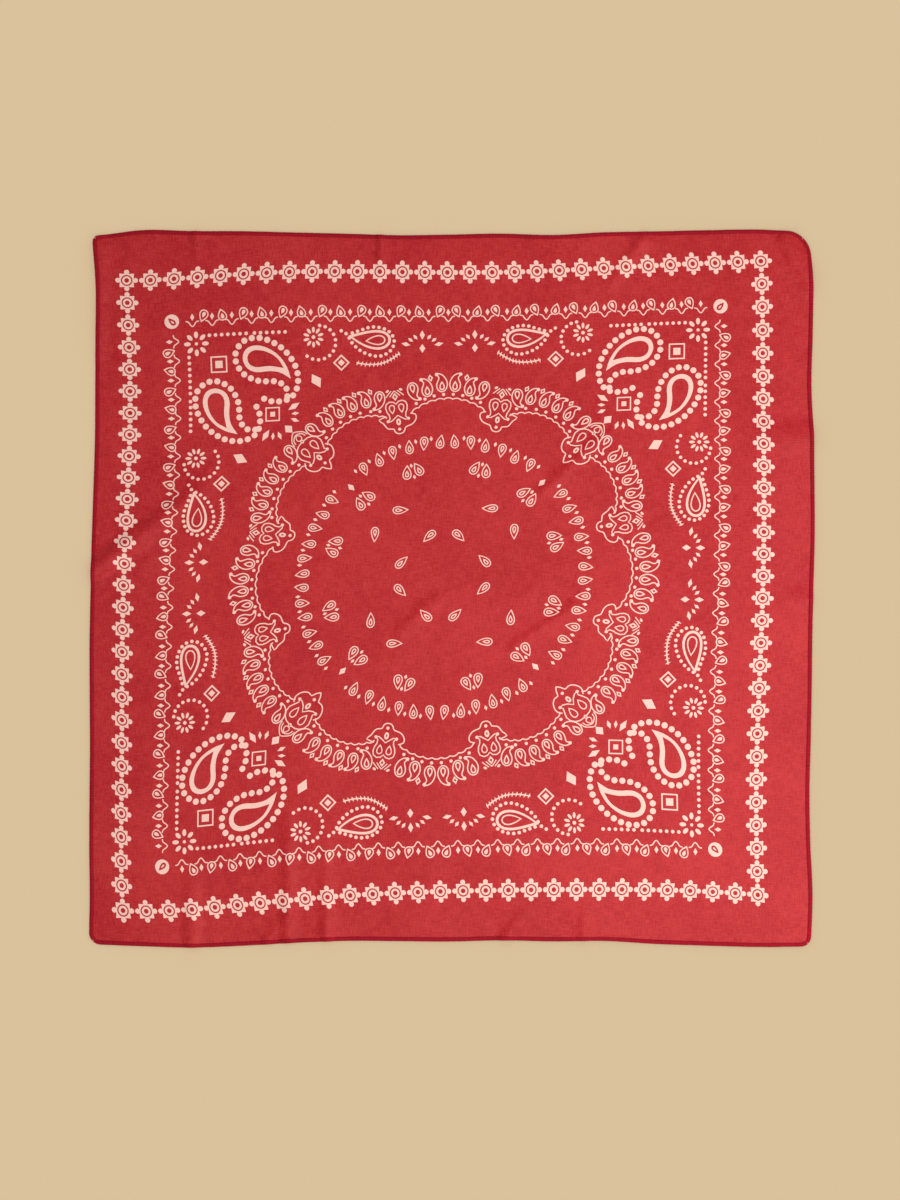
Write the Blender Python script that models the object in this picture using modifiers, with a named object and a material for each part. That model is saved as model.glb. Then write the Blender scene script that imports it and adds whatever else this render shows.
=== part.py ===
"""A printed cotton bandana laid out flat: one thin square panel inside four rolled hems.

Metres, +Z up. The origin is on the surface that the cloth lies on, under the middle of its outline.
+X runs to the right side and +Y to the top side, seen from above.
"""

import math

import bmesh
import bpy
from mathutils import Vector

# The cloth as cut and hemmed, before it is laid down.
CLOTH_WIDTH = 0.5534
CLOTH_LENGTH = 0.5450
PANEL_WALL = 0.0010  # the panel's cloth, with the air that its weave holds
HEM_WIDTH = 0.0034
HEM_THICKNESS = 0.0018
SEAM_GAP = 0.0003  # between two hems at a corner
PANEL_GAP = 0.0005  # between the panel and a hem, less where a fold leans the panel's wall outwards

# Where the grid lines of the panel and the rings of the hems lie: close together at the corners,
# where the outline turns, and even between.
CORNER_STEPS = (0.0, 0.25, 0.5, 0.75, 1.0)  # shares of a corner's radius
EVEN_STEPS = 36  # from corner to corner

# Every corner is turned with its own radius. The signs say which corner: (right or left, top or bottom).
CORNER_RADIUS = {
    (-1, 1): 0.0045,
    (1, 1): 0.0170,
    (1, -1): 0.0075,
    (-1, -1): 0.0090,
}

# How far each side bows out (+) or in (-) of a straight line, in millimetres, at even steps along it.
# Top and bottom are read from left to right, left and right from bottom to top.
SIDE_BOW_MM = {
    "top": (-1.6, 2.9, 2.1, 2.0, 1.0, 0.1, -1.1, -0.6, 0.2, -0.9, 1.2, 1.9, 2.8, 3.3, 1.5),
    "bottom": (1.0, 2.4, 3.4, 2.0, -0.2, -1.7, -1.5, -1.2, -2.1, -1.3, -1.6, 0.7, 2.0, 3.0, 2.6),
    "left": (2.3, 1.7, 2.0, 1.8, 1.5, 1.7, 1.8, 1.0, 0.1, -1.2, -2.3, -2.6, -2.9, -3.1, -0.6),
    "right": (-0.9, 0.4, -1.3, -2.0, -1.1, -0.3, 0.2, 1.0, 2.0, 1.9, 1.3, -0.5, 0.5, 0.8, -2.2),
}

# The folds that stand up from the surface. Each is a soft ridge over a line from its start to its end,
# with its height at both, and it meets the flat cloth at its reach to either side. Millimetres.
FOLD_COLUMNS = ("start_x", "start_y", "end_x", "end_y", "start_height", "end_height", "reach")
FOLDS = {
    "left_side_fold": (-277, 12, -191, 78, 4.2, 1.2, 17),
    "left_side_curl": (-275, 182, -273, 262, 1.2, 2.6, 13),
    "top_left_crease": (-197, 272, -196, 246, 1.8, 0.3, 8),
    "top_middle_crease": (-55, 272, -54, 240, 2.4, 0.4, 8),
    "top_right_crease": (148, 268, 122, 234, 2.6, 0.8, 10),
    "top_right_curl": (258, 266, 276, 235, 3.6, 3.0, 14),
    "right_side_fold": (278, 117, 246, 117, 3.4, 0.8, 22),
    "right_side_dent": (278, -9, 258, -8, 1.8, 0.5, 14),
    "bottom_left_band": (-200, -272, -199, -214, 2.0, 0.4, 11),
    "bottom_left_slant": (-142, -270, -119, -242, 2.0, 0.3, 9),
    "bottom_band": (-126, -268, -125, -178, 2.0, 0.5, 10),
    "bottom_second_band": (-96, -268, -97, -197, 1.8, 0.4, 9),
    "bottom_middle_slant": (40, -270, 63, -242, 1.8, 0.3, 9),
    "bottom_right_crease": (101, -270, 102, -242, 1.4, 0.3, 8),
    "long_crease": (70, 74, 117, 118, 0.9, 0.9, 9),
    "lower_crease": (49, -44, 95, -14, 0.9, 0.9, 9),
    "middle_crease": (-40, -33, -12, -9, 0.8, 0.8, 8),
}


def mix(low, high, share):
    return low + (high - low) * share


def side_bow(side, share):
    """The side's bow at this share of its length, in metres, smooth between the table's steps."""
    bows = SIDE_BOW_MM[side]
    place = min(max(share, 0.0), 1.0) * (len(bows) - 1)
    step = min(int(place), len(bows) - 2)
    before, low, high, after = (bows[min(max(step + k, 0), len(bows) - 1)] for k in (-1, 0, 1, 2))
    t = place - step
    bend = t * (high - before) + t * t * (2 * before - 5 * low + 4 * high - after)
    return (low + (bend + t**3 * (3 * low - before - 3 * high + after)) / 2) / 1000


def laid(flat):
    """Where a point of the flat cloth comes to lie in plan: each pair of sides shares its bows."""
    right_share = flat.x / CLOTH_WIDTH + 0.5
    top_share = flat.y / CLOTH_LENGTH + 0.5
    return Vector(
        (
            flat.x + mix(-side_bow("left", top_share), side_bow("right", top_share), right_share),
            flat.y + mix(-side_bow("bottom", right_share), side_bow("top", right_share), top_share),
        )
    )


def fold_height(point):
    """How far the cloth stands off the surface at a laid point."""
    height = 0.0
    for row in FOLDS.values():
        fold = dict(zip(FOLD_COLUMNS, (value / 1000 for value in row)))
        start = Vector((fold["start_x"], fold["start_y"]))
        run = Vector((fold["end_x"], fold["end_y"])) - start
        share = min(max((point - start).dot(run) / run.length_squared, 0.0), 1.0)
        aside = (point - start - run * share).length / fold["reach"]
        if aside < 1:
            height += mix(fold["start_height"], fold["end_height"], share) * (1 - aside**2) ** 2
    return height


# Each side: the way along it, the way out of it, and the lengths half along and half across the cloth.
SIDES = {
    "top": (Vector((1, 0)), Vector((0, 1)), CLOTH_WIDTH / 2, CLOTH_LENGTH / 2),
    "bottom": (Vector((1, 0)), Vector((0, -1)), CLOTH_WIDTH / 2, CLOTH_LENGTH / 2),
    "left": (Vector((0, 1)), Vector((-1, 0)), CLOTH_LENGTH / 2, CLOTH_WIDTH / 2),
    "right": (Vector((0, 1)), Vector((1, 0)), CLOTH_LENGTH / 2, CLOTH_WIDTH / 2),
}


def side_lines(side):
    """(distance along the side from its middle, angle turned round the corner) of every grid line."""
    along, out, half_along, _ = SIDES[side]
    first = CORNER_RADIUS[tuple(int(v) for v in out - along)]
    last = CORNER_RADIUS[tuple(int(v) for v in out + along)]
    half_turn = math.pi / 4
    lines = [(first - half_along, (share - 1) * half_turn) for share in CORNER_STEPS]
    for step in range(1, EVEN_STEPS):
        lines.append((mix(first - half_along, half_along - last, step / EVEN_STEPS), 0.0))
    return lines + [(half_along - last, share * half_turn) for share in CORNER_STEPS]


def outline_point(side, line, inset, gap=0.0):
    """The flat point on this line that lies inset from the cloth's edge, and gap short of a side's end."""
    along, out, _, half_out = SIDES[side]
    distance, angle = line
    radius = CORNER_RADIUS[tuple(int(v) for v in out + along * (1 if distance > 0 else -1))]
    centre = along * distance + out * (half_out - radius)
    point = centre + (out * math.cos(angle) + along * math.sin(angle)) * (radius - inset)
    if abs(angle) > 0.999 * math.pi / 4:
        point -= (along * math.cos(angle) - out * math.sin(angle)) * math.copysign(gap, angle)
    return point


def material(name, colour, roughness):
    made = bpy.data.materials.new(name)
    made.use_nodes = True
    surface = made.node_tree.nodes["Principled BSDF"]
    surface.inputs["Base Color"].default_value = (*colour, 1.0)
    surface.inputs["Roughness"].default_value = roughness
    surface.inputs["Metallic"].default_value = 0.0
    return made


def add_object(name, mesh, surface, collection):
    mesh.materials.append(surface)
    mesh.shade_smooth()
    mesh.set_sharp_from_angle(angle=math.radians(50))
    made = bpy.data.objects.new(name, mesh)
    collection.objects.link(made)
    return made


def make_panel(collection):
    """The square between the hems: a grid stretched between its four edges, thickened upwards."""
    inset = HEM_WIDTH + PANEL_GAP
    edge = {
        side: [outline_point(side, line, inset) for line in side_lines(side)] for side in SIDES
    }
    last = len(edge["top"]) - 1
    bm = bmesh.new()
    bmesh.ops.create_grid(bm, x_segments=last, y_segments=last, size=0.5)
    for vertex in bm.verts:
        right, up = vertex.co.x + 0.5, vertex.co.y + 0.5
        column, row = round(right * last), round(up * last)
        right = (edge["bottom"][column].x / CLOTH_WIDTH) + 0.5
        up = (edge["left"][row].y / CLOTH_LENGTH) + 0.5
        across = mix(edge["left"][row], edge["right"][row], right)
        along = mix(edge["bottom"][column], edge["top"][column], up)
        corners = mix(
            mix(edge["bottom"][0], edge["bottom"][last], right),
            mix(edge["top"][0], edge["top"][last], right),
            up,
        )
        plan = laid(across + along - corners)
        vertex.co = (plan.x, plan.y, fold_height(plan))
    mesh = bpy.data.meshes.new("cloth_panel")
    bm.to_mesh(mesh)
    bm.free()
    panel = add_object("cloth_panel", mesh, material("red_cotton", (0.53, 0.04, 0.045), 0.85), collection)
    wall = panel.modifiers.new("wall", "SOLIDIFY")
    wall.thickness = PANEL_WALL
    wall.offset = 1.0
    return panel


# The rolled hem's section, as shares of its width from the cloth's edge and of its thickness.
HEM_SECTION = (
    (0.12, 0.0),
    (0.88, 0.0),
    (1.0, 0.28),
    (0.97, 0.72),
    (0.72, 1.0),
    (0.28, 1.0),
    (0.03, 0.72),
    (0.0, 0.28),
)


def make_hem(side, surface, collection):
    """The rolled edge along one side, from the middle of one corner to the middle of the next."""
    bm = bmesh.new()
    rings = []
    for line in side_lines(side):
        ring = []
        for inward, up in HEM_SECTION:
            plan = laid(outline_point(side, line, inward * HEM_WIDTH, SEAM_GAP / 2))
            lift = fold_height(laid(outline_point(side, line, HEM_WIDTH / 2)))
            ring.append(bm.verts.new((plan.x, plan.y, lift + up * HEM_THICKNESS)))
        rings.append(ring)
    for ring, following in zip(rings, rings[1:]):
        for corner, (low, next_low) in enumerate(zip(ring, following)):
            beside = (corner + 1) % len(ring)
            bm.faces.new((low, ring[beside], following[beside], next_low))
    bm.faces.new(rings[0])
    bm.faces.new(rings[-1])
    bmesh.ops.recalc_face_normals(bm, faces=bm.faces)
    name = "hem_" + side
    mesh = bpy.data.meshes.new(name)
    bm.to_mesh(mesh)
    bm.free()
    return add_object(name, mesh, surface, collection)


def main():
    for old in list(bpy.data.objects):
        bpy.data.objects.remove(old)
    collection = bpy.data.collections.new("bandana")
    bpy.context.scene.collection.children.link(collection)
    pieces = [make_panel(collection)]
    hem_thread = material("crimson_thread", (0.29, 0.008, 0.02), 0.7)
    for side in SIDES:
        pieces.append(make_hem(side, hem_thread, collection))
    centre_on_origin(pieces)


def centre_on_origin(pieces):
    """Moves the pieces together so that the middle of their outline in plan is over the origin."""
    points = [vertex.co for piece in pieces for vertex in piece.data.vertices]
    middle = Vector(
        [(min(p[axis] for p in points) + max(p[axis] for p in points)) / 2 for axis in (0, 1)] + [0.0]
    )
    for piece in pieces:
        for vertex in piece.data.vertices:
            vertex.co -= middle


main()
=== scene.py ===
import math

import bpy
import numpy as np
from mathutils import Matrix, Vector
from mathutils.geometry import delaunay_2d_cdt


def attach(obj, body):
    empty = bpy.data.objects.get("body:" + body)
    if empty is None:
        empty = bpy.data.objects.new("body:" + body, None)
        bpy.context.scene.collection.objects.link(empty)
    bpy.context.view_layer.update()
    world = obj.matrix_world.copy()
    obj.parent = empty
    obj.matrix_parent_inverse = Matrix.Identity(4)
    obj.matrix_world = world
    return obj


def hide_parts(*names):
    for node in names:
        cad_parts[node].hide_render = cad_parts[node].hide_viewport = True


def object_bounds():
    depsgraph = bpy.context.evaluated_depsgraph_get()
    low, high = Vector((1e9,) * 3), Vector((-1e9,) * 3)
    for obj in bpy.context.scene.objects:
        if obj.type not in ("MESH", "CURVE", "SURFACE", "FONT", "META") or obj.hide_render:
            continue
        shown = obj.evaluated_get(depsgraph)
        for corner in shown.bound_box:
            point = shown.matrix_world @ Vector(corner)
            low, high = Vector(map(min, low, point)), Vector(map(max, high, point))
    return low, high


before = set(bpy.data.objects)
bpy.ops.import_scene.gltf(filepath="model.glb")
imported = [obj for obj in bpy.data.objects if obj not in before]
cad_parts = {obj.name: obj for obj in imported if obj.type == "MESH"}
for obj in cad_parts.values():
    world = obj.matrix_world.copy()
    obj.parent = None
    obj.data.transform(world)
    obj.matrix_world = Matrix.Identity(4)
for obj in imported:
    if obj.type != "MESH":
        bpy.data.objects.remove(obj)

# A printed cotton bandana, laid out flat. Drawing is done in millimetres, meshes are in metres.
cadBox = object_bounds()
mm = 0.001
random = np.random.default_rng(7)


cloth = {
    "width": 553.4,  # as cut and hemmed, before it was laid down
    "length": 545.0,
    "thickness": 0.4,
    "lift": 0.1,  # air under the flat cloth
    "tuck": 1.3,  # how far inside the edge the panel ends, in the roll of the hem
    "gridStep": 6.4,  # between the points that let the cloth bend
    "foldGridStep": 2.7,  # the same, on the folds
    "edgeStep": 4.0,  # between the points along its edge
    "bare": 4.5,  # how far from the edge the grid's points stop
    "tile": 70.0,  # the mesh is cut up in tiles, because one sheet of this many outlines takes minutes
    "tileStep": 7.0,
    "printOnBack": 0.45,  # how much of the ink shows on the reverse
}

# right or left, top or bottom: the radius that the corner is turned with
cornerRadius = {(-1, 1): 4.5, (1, 1): 17.0, (1, -1): 7.5, (-1, -1): 9.0}

# how far each side bows out of a straight line:
# top and bottom are read from the left, left and right from the bottom
sideBow = {
    "top": (-1.6, 2.9, 2.1, 2.0, 1.0, 0.1, -1.1, -0.6, 0.2, -0.9, 1.2, 1.9, 2.8, 3.3, 1.5),
    "bottom": (1.0, 2.4, 3.4, 2.0, -0.2, -1.7, -1.5, -1.2, -2.1, -1.3, -1.6, 0.7, 2.0, 3.0, 2.6),
    "left": (2.3, 1.7, 2.0, 1.8, 1.5, 1.7, 1.8, 1.0, 0.1, -1.2, -2.3, -2.6, -2.9, -3.1, -0.6),
    "right": (-0.9, 0.4, -1.3, -2.0, -1.1, -0.3, 0.2, 1.0, 2.0, 1.9, 1.3, -0.5, 0.5, 0.8, -2.2),
}

# soft ridges: start x and y, end x and y, height at the start and at the end, and reach to either side
folds = {
    "leftSideFold": (-277, 12, -191, 78, 4.4, 1.5, 11),
    "leftSideCurl": (-275, 182, -273, 262, 1.6, 3.2, 14),
    "topLeftCrease": (-197, 272, -196, 246, 1.9, 0.3, 5.5),
    "topMiddleCrease": (-55, 272, -54, 240, 2.6, 0.5, 5.0),
    "topRightCrease": (148, 268, 122, 234, 3.0, 0.9, 8),
    "topRightCurl": (258, 266, 276, 235, 3.6, 3.0, 12),
    "rightSideFold": (278, 117, 246, 117, 3.4, 0.8, 16),
    "rightSideDent": (278, -9, 258, -8, 1.8, 0.5, 10),
    "bottomLeftBand": (-200, -272, -199, -214, 2.6, 0.5, 9),
    "bottomLeftSlant": (-142, -270, -119, -242, 2.0, 0.3, 7),
    "bottomBand": (-126, -268, -125, -178, 2.6, 0.7, 8),
    "bottomSecondBand": (-96, -268, -97, -197, 2.4, 0.5, 7),
    "bottomMiddleSlant": (40, -270, 63, -242, 1.8, 0.3, 7),
    "bottomRightCrease": (101, -270, 102, -242, 1.4, 0.3, 6),
    "longCrease": (70, 74, 117, 118, 1.4, 1.4, 7),
    "lowerCrease": (49, -44, 95, -14, 1.4, 1.4, 7),
    "middleCrease": (-40, -33, -12, -9, 1.2, 1.2, 7),
}

# the long low swells of cloth that was folded once: wave length, direction in degrees, start, height
swells = (
    (118.0, 38.0, 0.4, 0.40),
    (83.0, 41.0, 2.1, 0.30),
    (149.0, -52.0, 4.0, 0.30),
    (61.0, 86.0, 1.2, 0.20),
    (71.0, 3.0, 5.1, 0.20),
    (47.0, 24.0, 3.3, 0.14),
    (33.0, 52.0, 0.9, 0.07),
    (29.0, -33.0, 2.6, 0.05),
)


def bowAt(side, share):
    bows = np.array(sideBow[side])
    place = np.clip(share, 0, 1) * (len(bows) - 1)
    step = np.minimum(place.astype(int), len(bows) - 2)
    before, low, high, after = (bows[np.clip(step + k, 0, len(bows) - 1)] for k in (-1, 0, 1, 2))
    t = place - step
    bend = t * (high - before) + t**2 * (2 * before - 5 * low + 4 * high - after)
    return low + (bend + t**3 * (3 * low - before - 3 * high + after)) / 2


def bowed(flat):
    right = flat[:, 0] / cloth["width"] + 0.5
    top = flat[:, 1] / cloth["length"] + 0.5
    x = flat[:, 0] - bowAt("left", top) * (1 - right) + bowAt("right", top) * right
    y = flat[:, 1] - bowAt("bottom", right) * (1 - top) + bowAt("top", right) * top
    return np.stack([x, y], 1)


# each side: the way along it and the way out of it
sides = {
    "top": (np.array([1, 0]), np.array([0, 1])),
    "right": (np.array([0, -1]), np.array([1, 0])),
    "bottom": (np.array([-1, 0]), np.array([0, -1])),
    "left": (np.array([0, 1]), np.array([-1, 0])),
}


def edgeOfSide(side, step):
    # flat points along a side, corner middle to corner middle, and the way out at each
    along, out = sides[side]
    half = np.array([cloth["width"], cloth["length"]]) / 2
    first, last = (cornerRadius[tuple(int(v) for v in out + sign * along)] for sign in (-1, 1))
    reach, halfAlong = abs(out @ half), abs(along @ half)
    count = round((2 * halfAlong - first - last) / step) + 1
    straight = np.linspace(first - halfAlong, halfAlong - last, count)
    points, ways = [], []
    for radius, place, angles in (
        (first, first - halfAlong, np.linspace(-45, 0, max(3, round(first / step * 0.8) + 1))[:-1]),
        (0, None, None),
        (last, halfAlong - last, np.linspace(0, 45, max(3, round(last / step * 0.8) + 1))[1:]),
    ):
        if angles is None:
            points += [along * far + out * reach for far in straight]
            ways += [out * 1.0 for _ in straight]
            continue
        for angle in np.radians(angles):
            way = out * math.cos(angle) + along * math.sin(angle)
            points.append(along * place + out * (reach - radius) + way * radius)
            ways.append(way)
    return np.array(points), np.array(ways)


wholeEdge = np.concatenate([edgeOfSide(side, 2.0)[0] for side in sides])
laidEdge = bowed(wholeEdge)
cadMiddle = (np.array(cadBox[0][:2]) + np.array(cadBox[1][:2])) / 2 / mm
clothMiddle = (laidEdge.min(0) + laidEdge.max(0)) / 2 - cadMiddle


def laid(flat):  # where a point of the flat cloth comes to lie
    return bowed(flat) - clothMiddle


def foldHeight(points):  # how far the folds stand off the surface
    points = points + clothMiddle
    height = np.zeros(len(points))
    for startX, startY, endX, endY, startHigh, endHigh, reach in folds.values():
        start = np.array([startX, startY])
        run = np.array([endX, endY]) - start
        share = np.clip((points - start) @ run / (run @ run), 0, 1)
        aside = np.linalg.norm(points - start - share[:, None] * run, axis=1) / reach
        height += (startHigh + (endHigh - startHigh) * share) * np.maximum(1 - aside**2, 0) ** 2
    return height


def swellHeight(points):
    height = np.zeros(len(points))
    for wave, direction, start, high in swells:
        way = np.array([math.cos(math.radians(direction)), math.sin(math.radians(direction))])
        height += high * (1 + np.sin(points @ way * 2 * math.pi / wave + start)) / 2
    return height


def heightAt(points):
    return cloth["lift"] + foldHeight(points) + swellHeight(points)


def normalsAt(points, step=0.5):
    slopes = [
        (heightAt(points + shift) - heightAt(points - shift)) / (2 * step)
        for shift in (np.array([step, 0]), np.array([0, step]))
    ]
    normals = np.stack([-slopes[0], -slopes[1], np.ones(len(points))], 1)
    return normals / np.linalg.norm(normals, axis=1)[:, None]


# A motif is a list of (outline, inked).
# A later outline covers an earlier one, with ink or with bare ground.
printed = {
    "half": 243.3,  # from the middle of the print to the chain around it
    "line": 0.95,
}

# where the cloth has carried the print: rows from the bottom of the print to the top, left to right
printLies = np.array([
    [(-252.7, -247.4), (-170.5, -243.9), (-89.7, -236.6), (-8.8, -232.8),
     (72.5, -231.4), (154.0, -231.5), (235.0, -235.4)],
    [(-253.9, -160.5), (-175.5, -160.6), (-94.2, -152.5), (-11.8, -149.2),
     (70.8, -147.8), (153.0, -149.3), (233.9, -152.5)],
    [(-253.5, -77.6), (-172.7, -78.3), (-91.9, -71.3), (-10.7, -68.3),
     (71.6, -67.4), (154.1, -68.4), (236.3, -70.7)],
    [(-252.3, 2.3), (-169.1, 2.1), (-88.1, 7.5), (-7.5, 10.1),
     (74.7, 11.3), (157.2, 11.8), (239.2, 9.6)],
    [(-248.9, 79.7), (-165.1, 80.0), (-84.6, 84.5), (-4.2, 87.1),
     (77.0, 88.6), (158.2, 90.8), (239.7, 88.6)],
    [(-247.3, 157.1), (-164.6, 158.9), (-83.7, 162.0), (-2.5, 163.4),
     (78.5, 165.2), (158.9, 168.4), (239.0, 169.1)],
    [(-249.9, 236.7), (-165.9, 241.3), (-84.2, 243.7), (-3.5, 242.8),
     (76.8, 244.2), (156.5, 248.2), (237.4, 251.5)],
])


def shares(place):  # how much each line of the table counts there
    lines = np.linspace(-1, 1, len(printLies))
    counted = []
    for line in lines:
        others = lines[lines != line]
        counted.append(np.prod([(place - other) / (line - other) for other in others], axis=0))
    return np.stack(counted, 1)


def printLaid(points):  # from the print as drawn to where it lies
    across, up = (shares(points[:, axis] / printed["half"]) for axis in (0, 1))
    return np.einsum("ni,nj,jik->nk", across, up, printLies)


def moved(motif, x=0.0, y=0.0, turn=0.0, flip=False):
    # turn is anticlockwise; flip swaps left and right first
    angle = math.radians(turn)
    turned = np.array([[math.cos(angle), math.sin(angle)], [-math.sin(angle), math.cos(angle)]])
    side = np.array([-1.0 if flip else 1.0, 1.0])
    return [((outline * side) @ turned + (x, y), inked) for outline, inked in motif]


def upsideDown(motif):
    return [(outline * (1, -1), inked) for outline, inked in motif]


def fourfold(motif):
    return [shape for turn in (0, 90, 180, 270) for shape in moved(motif, turn=turn)]


def eightfold(motif):
    return fourfold(motif) + fourfold(moved(motif, flip=True))


def outlined(points, inked=True):
    return [(np.array(points, float), inked)]


def disc(radius, x=0.0, y=0.0, inked=True, steps=8):
    turn = (np.arange(steps) + 0.5) * 2 * math.pi / steps
    return outlined(np.stack([x + radius * np.cos(turn), y + radius * np.sin(turn)], 1), inked)


def oval(halfWidth, halfHeight, x=0.0, y=0.0, turn=0.0, inked=True, steps=8):
    angle = np.arange(steps) * 2 * math.pi / steps
    points = np.stack([halfWidth * np.cos(angle), halfHeight * np.sin(angle)], 1)
    return moved([(points, inked)], x, y, turn)


def diamond(halfWidth, halfHeight, x=0.0, y=0.0, turn=0.0, inked=True):
    points = np.array([(halfWidth, 0), (0, halfHeight), (-halfWidth, 0), (0, -halfHeight)], float)
    return moved([(points, inked)], x, y, turn)


def square(half, inked=True):
    return diamond(half * math.sqrt(2), half * math.sqrt(2), turn=45, inked=inked)


def drop(length, width, bend=0.0, y=0.0, whole=None, inked=True, steps=16):
    # a teardrop with its point up; whole is the length that the bend of its point is spread over
    t = np.arange(steps) * 2 * math.pi / steps
    high = y + length / 2 * np.cos(t)
    lean = bend * np.clip(high / (whole or length) + 0.5, 0, 1) ** 2.5
    return outlined(np.stack([width / 1.54 * np.sin(t) * np.sin(t / 2) + lean, high], 1), inked)


def ringedDrop(length, width, line, core=(0.48, 0.46), hole=True, bend=0.0, steps=14):
    low = -0.1 * length
    motif = drop(length, width, bend, steps=steps)
    motif += drop(length - 2.6 * line, width - 2 * line, bend, -0.3 * line, length, False, steps)
    motif += drop(length * core[0], width * core[1], bend, low, length, True, steps - 4)
    if hole:
        long, wide = length * core[0] * 0.55, width * core[1] * 0.42
        motif += drop(long, wide, bend, low - 0.03 * length, length, False, 8)
    return motif


def curve(points, closed=False, spans=3):  # a smooth line through the points
    points = np.array(points, float)
    if closed:
        padded = np.concatenate([points[-1:], points, points[:2]])
    else:
        padded = np.concatenate([2 * points[:1] - points[1:2], points, 2 * points[-1:] - points[-2:-1]])
    line = []
    for k in range(1, len(padded) - 2):
        before, low, high, after = padded[k - 1 : k + 3]
        for t in np.arange(spans) / spans:
            bend = t * (high - before) + t**2 * (2 * before - 5 * low + 4 * high - after)
            line.append(low + (bend + t**3 * (3 * low - before - 3 * high + after)) / 2)
    return np.array(line if closed else line + [points[-1]])


def besides(path, aside, closed=False):
    if closed:
        ahead = np.roll(path, -1, 0) - np.roll(path, 1, 0)
    else:
        ahead = np.gradient(path, axis=0)
    side = np.stack([-ahead[:, 1], ahead[:, 0]], 1)
    return path + side / np.maximum(np.linalg.norm(side, axis=1), 1e-9)[:, None] * aside


def stroke(path, line):
    path = np.array(path, float)
    return outlined(np.concatenate([besides(path, line / 2), besides(path, -line / 2)[::-1]]))


def loop(path, line):  # a closed line
    wide = line / 2 if areaOf(path) < 0 else -line / 2
    return outlined(besides(path, wide, True)) + outlined(besides(path, -wide, True), False)


def areaOf(path):  # above zero where the path runs anticlockwise
    following = np.roll(path, -1, 0)
    return float((path[:, 0] * following[:, 1] - path[:, 1] * following[:, 0]).sum() / 2)


def beads(path, radius, spacing, closed=False):  # dots at an even spacing along a path
    path = np.array(path, float)
    if closed:
        path = np.concatenate([path, path[:1]])
    run = np.concatenate([[0], np.cumsum(np.linalg.norm(np.diff(path, axis=0), axis=1))])
    count = max(1, round(run[-1] / spacing))
    places = np.arange(count + (0 if closed else 1)) * run[-1] / count
    motif = []
    for place in places:
        x, y = (np.interp(place, run, path[:, axis]) for axis in (0, 1))
        motif += disc(radius, x, y, steps=12 if radius > 2 else 8)
    return motif


def flower(petals, inner, outer, halfWidth, middle):
    petal = oval(halfWidth, (outer - inner) / 2, y=(inner + outer) / 2, steps=10)
    motif = disc(middle)
    for k in range(petals):
        motif += moved(petal, turn=360 * k / petals)
    return motif


# the chain of rosettes around the print
chain = {
    "pitch": 17.38,
    "perSide": 28,
    "corner": 5.3,
    "waist": 5.1,
    "knob": 1.95,
    "knobOut": 6.4,
    "rings": (4.35, 3.35, 1.85),  # bare ground, ink, bare ground
}


def rosette():
    opening = math.degrees(math.acos((chain["waist"] - chain["knobOut"]) / chain["knob"]))
    angles = np.radians(np.linspace(-opening, opening, 8))
    knob = np.stack([chain["knobOut"] + chain["knob"] * np.cos(angles), chain["knob"] * np.sin(angles)], 1)
    quarter = [(np.concatenate([[(chain["corner"], -chain["corner"])], knob]), True)]
    outline = np.concatenate([moved(quarter, turn=turn)[0][0] for turn in (0, 90, 180, 270)])
    ground, ink, hole = chain["rings"]
    motif = outlined(outline) + disc(ground, inked=False, steps=14)
    return motif + disc(ink, steps=12) + disc(hole, inked=False)


def chainOfRosettes():
    row = []
    for place in range(-chain["perSide"] // 2, chain["perSide"] // 2):
        row += moved(rosette(), place * chain["pitch"], printed["half"])
    return fourfold(row)


# small drops, diamonds and scallops
border = {"line": 213.0, "pitch": 15.0, "count": 13, "bud": 210.5, "stroke": 0.9}


def scallop():  # the V that hangs under each diamond, with its arms turned outwards
    path = curve([(-5.1, -3.1), (-4.0, -3.2), (-2.7, -3.9), (-1.5, -5.8), (0, -7.1), (1.5, -5.8),
                  (2.7, -3.9), (4.0, -3.2), (5.1, -3.1)], spans=2)
    return stroke(path, border["stroke"])


def borderHalf():
    row, line, core = [], border["stroke"], (0.46, 0.38)
    for place in range(border["count"] + 1):
        x = place * border["pitch"]
        row += moved(diamond(1.6, 2.75) + scallop(), x, border["line"])
        if place == border["count"]:
            break
        if place % 2:
            leaf = moved(ringedDrop(9.4, 7.2, line, core, False, 1.2), turn=-6)
            row += moved(leaf, x + border["pitch"] / 2 - 0.4, border["line"] + 0.8)
        else:
            leaf = moved(ringedDrop(9.8, 7.3, line, core, False, 1.2), turn=-148)
            row += moved(leaf, x + border["pitch"] / 2 - 0.6, border["line"] + 0.7)
    return row


def bud():  # at the border's corners: a round bud with a leaf cut out of it
    leaf = drop(7.6, 4.2, steps=10, inked=False) + drop(3.6, 1.5, y=-0.6, whole=7.6, steps=6)
    return disc(5.6, steps=16) + moved(leaf, turn=-45)


# the cluster in the top right corner
corner = {
    "flower": 192.6,
    "beadLine": 198.6,
    "bead": 1.45,
    "beadPitch": 4.67,
    "beadRows": ((182.5, 154.5), (148.2, 124.8)),
    "bigBead": 2.4,
    "bigBeadPitch": 5.95,
    "squares": ((176.1, 6.35, 5.25, 2.8), (135.6, 5.6, 4.6, 1.9)),  # place on the diagonal, half sizes
}

# the beads go round the big drop and end in a curl
bigBeadPath = [(142.1, 148.1), (136.1, 145.7), (130.1, 145.4), (121.1, 148.1), (115.9, 158.1),
               (117.4, 172.1), (127.1, 186.1), (143.1, 194.6), (157.1, 192.6), (163.6, 181.1),
               (158.1, 168.6), (146.1, 162.1), (133.1, 161.1), (125.4, 156.6), (124.1, 149.1)]

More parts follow.
